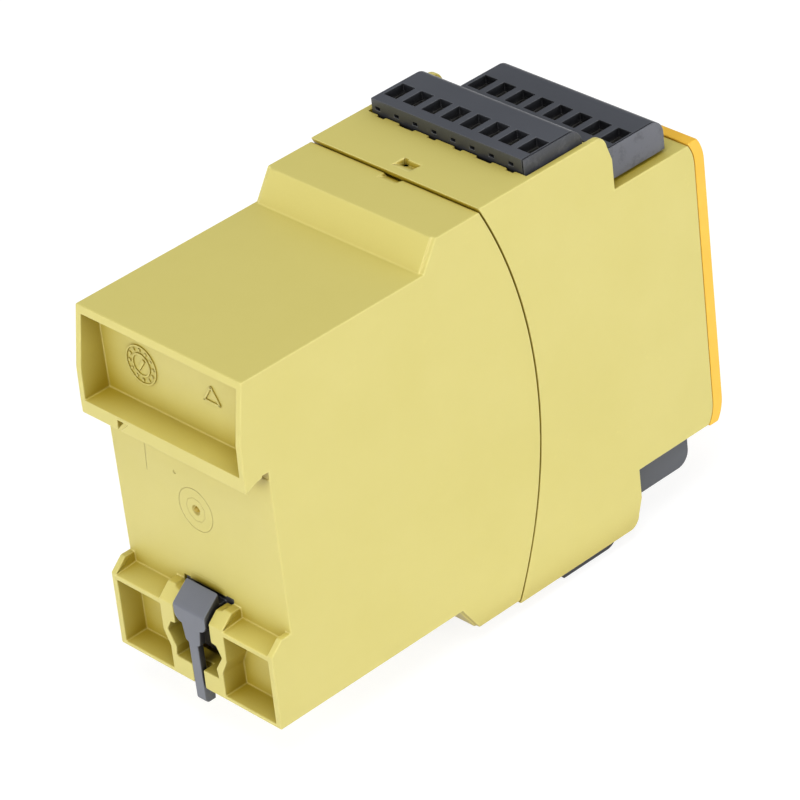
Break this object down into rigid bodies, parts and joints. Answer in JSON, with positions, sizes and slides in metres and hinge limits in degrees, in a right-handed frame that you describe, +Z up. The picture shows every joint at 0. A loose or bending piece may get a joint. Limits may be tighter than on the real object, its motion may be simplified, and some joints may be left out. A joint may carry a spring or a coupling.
{
  "type": "safety relay",
  "caption": "Modular rail-mounted safety relay with stepped housing, plug-in screw terminals at top and bottom, front indicator cover and a sprung rail latch.",
  "frame": {"origin": "middle of the rail seat, on the face that lies against the 35 mm rail", "axes": "+Y towards the rail and the panel behind it, -Y towards the indicator cover, +Z up, X along the rail"},
  "size_m": [0.045, 0.1216, 0.094],
  "materials": {
    "shell_yellow": "fine satin moulded polyamide, pale yellow",
    "cover_orange": "satin moulded polyamide, warm orange",
    "latch_grey": "satin moulded plastic, dark grey",
    "plug_grey": "satin moulded polyamide, blue grey",
    "plate_grey": "satin moulded polyamide, lighter blue grey",
    "screw_steel": "zinc plated",
    "clamp_steel": "zinc plated",
    "contact_tin": "tinned",
    "header_black": "matt moulded plastic",
    "pin_tin": "tinned",
    "board_green": "solder lacquer on glass laminate",
    "relay_case": "satin moulded plastic",
    "core_iron": "laminated sheet",
    "winding_copper": "enamelled copper wire",
    "capacitor_sleeve": "shrink sleeve on aluminium cans",
    "led_clear": "clear cast resin",
    "lens_clear": "clear moulded light pipes"
  },
  "bodies": {
    "enclosure": {"rear_housing": "shell_yellow", "front_housing": "shell_yellow", "front_cover": "cover_orange", "pin_header_top_rear": "header_black", "header_pins_top_rear": "pin_tin", "pin_header_top_front": "header_black", "header_pins_top_front": "pin_tin", "pin_header_bottom_rear": "header_black", "header_pins_bottom_rear": "pin_tin", "pin_header_bottom_front": "header_black", "header_pins_bottom_front": "pin_tin", "rear_terminal_board": "board_green", "front_terminal_board": "board_green", "main_board": "board_green", "indicator_board": "board_green", "board_link": "pin_tin", "guided_relay_1": "relay_case", "guided_relay_2": "relay_case", "guided_relay_3": "relay_case", "transformer_core": "core_iron", "transformer_winding": "winding_copper", "capacitors": "capacitor_sleeve", "status_indicators": "led_clear", "indicator_lenses": "lens_clear"},
    "latch": {"rail_latch": "latch_grey"},
    "plug_top_rear": {"plug_top_rear": "plug_grey", "plug_end_plate_top_rear": "plate_grey", "terminal_screws_top_rear": "screw_steel", "wire_clamps_top_rear": "clamp_steel", "contact_sleeves_top_rear": "contact_tin"},
    "plug_top_front": {"plug_top_front": "plug_grey", "plug_end_plate_top_front": "plate_grey", "terminal_screws_top_front": "screw_steel", "wire_clamps_top_front": "clamp_steel", "contact_sleeves_top_front": "contact_tin"},
    "plug_bottom_rear": {"plug_bottom_rear": "plug_grey", "plug_end_plate_bottom_rear": "plate_grey", "terminal_screws_bottom_rear": "screw_steel", "wire_clamps_bottom_rear": "clamp_steel", "contact_sleeves_bottom_rear": "contact_tin"},
    "plug_bottom_front": {"plug_bottom_front": "plug_grey", "plug_end_plate_bottom_front": "plate_grey", "terminal_screws_bottom_front": "screw_steel", "wire_clamps_bottom_front": "clamp_steel", "contact_sleeves_bottom_front": "contact_tin"}
  },
  "joints": [
    {"name": "latch_slide", "type": "slide", "parent": "enclosure", "child": "latch", "axis": [0, 0, -1], "range_m": [0, 0.003], "stiffness_N_per_m": 2500},
    {"name": "pull_off_top_rear", "type": "slide", "parent": "enclosure", "child": "plug_top_rear", "axis": [0, -1, 0], "range_m": [0, 0.046]},
    {"name": "pull_off_top_front", "type": "slide", "parent": "enclosure", "child": "plug_top_front", "axis": [0, -1, 0], "range_m": [0, 0.0245]},
    {"name": "pull_off_bottom_rear", "type": "slide", "parent": "enclosure", "child": "plug_bottom_rear", "axis": [0, -1, 0], "range_m": [0, 0.046]},
    {"name": "pull_off_bottom_front", "type": "slide", "parent": "enclosure", "child": "plug_bottom_front", "axis": [0, -1, 0], "range_m": [0, 0.0245]}
  ]
}
